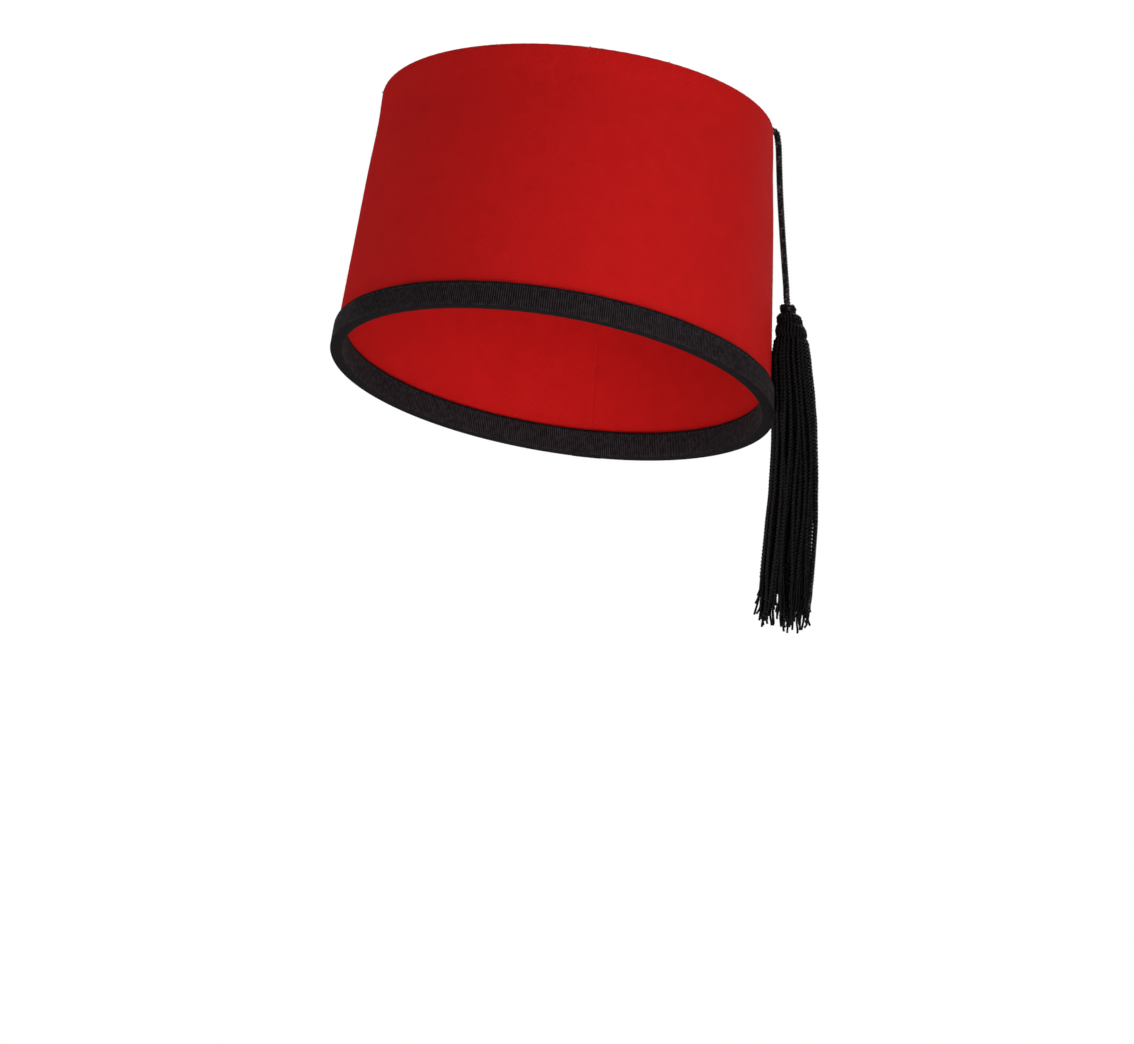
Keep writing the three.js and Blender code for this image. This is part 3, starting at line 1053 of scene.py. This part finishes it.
def strandLines(rows, dice, top, ends):
    lines, scales, tips = [], [], []
    thick = tassel["strandThick"]
    for count, share, n in [(count, share, n) for count, share in rows for n in range(count)]:
        start = fullTurn * (n + dice.uniform(-tassel["spacing"], tassel["spacing"])) / count
        end = dice.uniform(*ends) * mm
        sway, drift = dice.uniform(*tassel["sway"]), dice.uniform(-tassel["drift"], tassel["drift"])
        phase = dice.uniform(*tassel["anyTurn"])
        loose = dice.uniform(*tassel["loose"]) * mm
        steps = round((top - end) / tassel["strandStep"])
        line = []
        for k in range(steps + 1):
            up = top + (end - top) * k / steps
            down = max(0.0, (tassel["skirtTop"] - up) / tassel["skirtLong"])
            swung = sway * math.sin(phase + tassel["swayTurns"] * down) * min(1.0, tassel["swayStart"] * down)
            angle = start + drift * down + swung
            size = tassel["neckSize"] + (1 - tassel["neckSize"]) * belowNeck(up, tassel["pinchOver"])
            radius = (formRadius(up) - size * thick / 2 + loose * down) * share
            nearSide = 0.5 - 0.5 * math.cos(angle - crown["cordAngle"])
            leanIn = tassel["lean"] + tassel["flatten"] * nearSide * share
            place = hangPoint(polar(radius, angle), up)
            place -= sideways * (leanIn * belowNeck(up, tassel["leanOver"]))
            line.append(offTheWall(place, tassel["soft"] * size * thick / 2))
            scales.append(size)
        lines.append(line)
        tips.append((line[-1], (line[-1] - line[-1 - tassel["tipRun"]]).normalized()))
    return lines, scales, tips


def tipLines(tips, dice):
    lines = []
    steps = tip["steps"]
    for place, way in tips:
        turn = dice.uniform(*tassel["anyTurn"])
        for ply in range(tip["plies"]):
            side = Vector((*polar(1, turn + fullTurn * ply / tip["plies"]), 0))
            long = max(tip["shortest"], place.z - dice.uniform(*tip["ends"]) * mm)
            curl, twirl = dice.uniform(*tip["curl"]) * mm, dice.uniform(*tip["twirl"])
            phase = dice.uniform(*tassel["anyTurn"])
            spread = dice.uniform(*tip["spread"]) * mm
            line = []
            for k in range(-tip["rootSteps"], steps + 1):
                t = max(0.0, k / steps)
                bow = Vector((*polar(curl * t, phase + tip["twirlTurns"] * twirl * t), 0))
                bow -= Vector((*polar(curl * t, phase), 0))
                aside = side * (tip["plyOut"] + spread * t * t)
                line.append(place + way * (long * k / steps) + aside + bow * t)
            lines.append(line)
    return lines


dice = random.Random(tassel["seed"])
formTop = tassel["form"][0][0] * mm
outerLines, outerScales, outerTips = strandLines(tassel["outer"], dice, formTop, tassel["strandEnds"])
innerLines, innerScales, innerTips = strandLines(tassel["inner"], dice, tassel["innerTop"],
                                                 tassel["innerEnds"])
strandPiece = twistPiece("tassel_strands", lineMesh("strands", outerLines, scales=outerScales),
                         tassel["twist"], tassel["strandThick"], blackStrands, "strands", "tassel")
innerPiece = twistPiece("tassel_inner_strands", lineMesh("inner", innerLines, scales=innerScales),
                        {**tassel["twist"], **tassel["innerTwist"]}, tassel["strandThick"],
                        blackStrands, "strands")
frayed = outerTips + innerTips[::2]  # every other inner strand shows its end
tipPiece = twistPiece("tassel_tips", lineMesh("tips", tipLines(frayed, dice)),
                      tip["twist"], tip["thick"], blackStrands, "strands")


# neck bound with upright loops of thread

binding = {
    "form": [(25.8, 4.5), (25.9, 5.3), (26.7, 5.8), (28, 5.95), (29.3, 5.7), (30.1, 5.2), (30.2, 4.5)],
    "middle": 28,  # mm, as the form
    "half": 2.2,
    "slant": 0.25,  # of a loop's step, from the middle to an end
    "steps": 4,
    "loops": 26,
    "thick": 1.25 * mm,
    "twist": {"Plies": 2, "Lay": 3 * mm, "Groove": 0.25, "Step": 0.35 * mm, "Sides": 8},
}


def bindingLines():
    lines = []
    rows = smoothLine([Vector((out, up, 0)) * mm for up, out in binding["form"]], binding["steps"])
    for n in range(binding["loops"]):
        line = []
        for row in rows:
            slant = binding["slant"] * (row.y / mm - binding["middle"]) / binding["half"]
            angle = fullTurn * (n + slant) / binding["loops"]
            line.append(hangPoint(polar(row.x - binding["thick"] / 2, angle), row.y))
        lines.append(line)
    return lines


bindingPiece = twistPiece("neck_binding", lineMesh("loops", bindingLines()), binding["twist"],
                          binding["thick"], blackStrands, "cord", "tassel_binding")


# knots: a cord woven three times round

knots = {
    "above": {"middle": 36.75 * mm, "ring": 2.15 * mm, "tall": 1.0 * mm, "fat": 0.35 * mm, "thick": 1.5 * mm},
    "top": {"middle": 104.1 * mm, "ring": 2.25 * mm, "tall": 1.25 * mm, "fat": 1.0 * mm, "thick": 1.5 * mm},
    "leads": 3,
    "bights": 5,
    "points": 260,
    "twist": {"Plies": 3, "Lay": 3.2 * mm, "Groove": 0.4, "Step": 0.28 * mm, "Sides": 12},
}


def knotLine(knot, place):
    line = []
    for k in range(knots["points"]):
        turn = fullTurn * knots["leads"] * k / knots["points"]
        weave = turn * knots["bights"] / knots["leads"]
        out = knot["ring"] + knot["fat"] * math.cos(weave)
        line.append(place(polar(out, turn), knot["middle"] + knot["tall"] * math.sin(weave)))
    return line


def knotPiece(name, knot, place, node):
    base = lineMesh(name + "_line", [knotLine(knot, place)], closed=True)
    return twistPiece(name, base, knots["twist"], knot["thick"], blackCord, "cord", node)


def onAxis(across, up):
    return Vector((*across, up))


upperKnot = knotPiece("cord_knot", knots["above"], hangPoint, "tassel_knot")
knotPiece("crown_knot", knots["top"], onAxis, "top_knot")


# floor, seen from above only

def makeFloor(plan):
    angles = [fullTurn * k / plan["floorSides"] for k in range(plan["floorSides"])]
    rings = [[Vector((*polar(share * plan["floorRadius"], a), plan["floorHeight"])) for a in angles]
             for share in plan["floorRings"]]
    rings.append([Vector((0, 0, plan["floorHeight"]))])
    mesh = skinRings("floor", rings, closed=False)
    material, tree, shader = newMaterial("floor_pale")
    seen = addNode(tree, "ShaderNodeLightPath").outputs["Is Camera Ray"]
    fill(tree, shader, {"Base Color": plan["floorColor"], "Roughness": plan["floorRoughness"],
                        "Emission Color": plan["floorColor"],
                        "Emission Strength": times(tree, seen, plan["floorGlow"])})
    underneath = addNode(tree, "ShaderNodeNewGeometry").outputs["Backfacing"]
    clear = flow(tree, "ShaderNodeBsdfTransparent")
    oneSided = flow(tree, "ShaderNodeMixShader", {0: underneath, 1: shader.outputs[0], 2: clear})
    fill(tree, tree.get_output_node("ALL"), {"Surface": oneSided})
    mesh.materials.append(material)
    floor = bpy.data.objects.new("floor", mesh)
    scene.collection.objects.link(floor)


makeFloor(studio)
